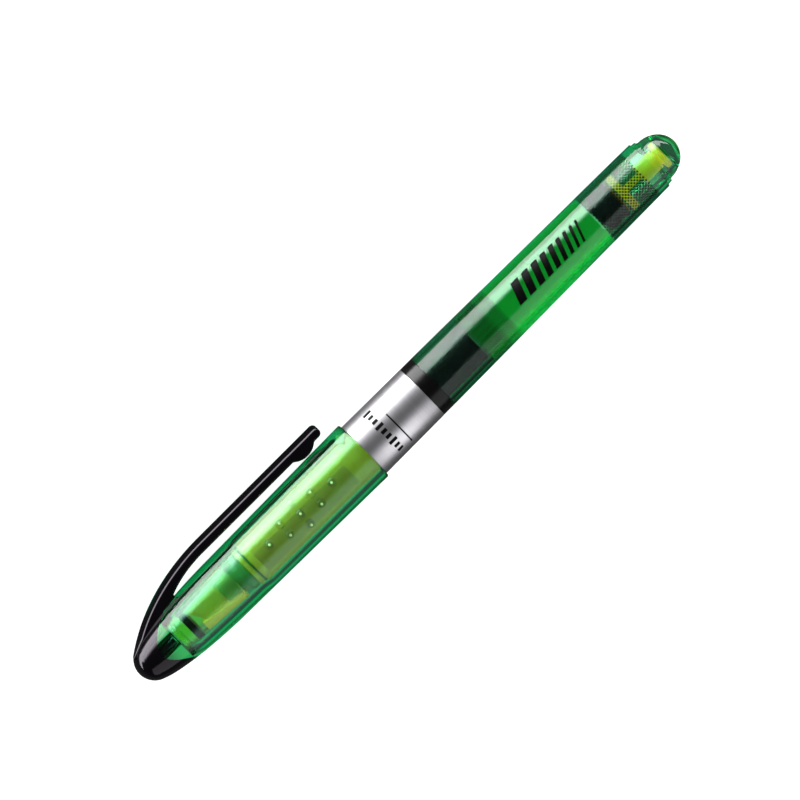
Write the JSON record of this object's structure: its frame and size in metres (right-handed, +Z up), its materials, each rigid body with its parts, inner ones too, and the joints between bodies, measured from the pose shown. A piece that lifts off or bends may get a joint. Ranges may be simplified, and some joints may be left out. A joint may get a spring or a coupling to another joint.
{
  "type": "highlighter pen",
  "caption": "Capped liquid-ink highlighter with a clear pull-off cap, sprung pocket clip, chisel nib, metal band and see-through ink barrel.",
  "frame": {"origin": "on the surface that the pen lies on, under the middle of its bounding box", "axes": "+X along the pen, from the domed end plug to the cap's tip; +Z up; the clip points to -Y and 28.3 degrees below horizontal, so that it and the cap's rim touch the surface"},
  "size_m": [0.145, 0.017, 0.0137],
  "materials": {
    "clear_green_plastic": "clear, polished",
    "clear_lime_plastic": "translucent, polished",
    "black_gloss_plastic": "glossy",
    "black_satin_plastic": "satin",
    "silver_metal": "satin, fine brushed",
    "nib_fibre": "bonded fibre soaked with ink",
    "seal_rubber": "smooth",
    "green_ink": "clear liquid",
    "lime_plastic": "glossy"
  },
  "bodies": {
    "pen": {"chisel_nib": "nib_fibre", "nib_holder": "clear_green_plastic", "seal_ring": "seal_rubber", "grip_section": "clear_lime_plastic", "ink_collector": "black_satin_plastic", "feed_wick": "nib_fibre", "barrel": "clear_green_plastic", "metal_band": "silver_metal", "trim_ring": "black_satin_plastic", "ink_fill": "green_ink", "rear_stopper": "black_satin_plastic", "rear_core": "lime_plastic", "end_plug": "clear_green_plastic"},
    "cap": {"cap_shell": "clear_green_plastic", "cap_inner_seal": "clear_lime_plastic", "clip_base": "black_gloss_plastic"},
    "clip": {"clip_arm": "black_gloss_plastic"}
  },
  "joints": [
    {"name": "cap_pull", "type": "slide", "parent": "pen", "child": "cap", "axis": [1, 0, 0], "range_m": [0, 0.06]},
    {"name": "clip_flex", "type": "hinge", "parent": "cap", "child": "clip", "pos_m": [0.055, -0.00576, 0.0028], "axis": [0, -0.4742, 0.8804], "range_deg": [0, 4], "stiffness_Nm_per_rad": 0.8}
  ]
}
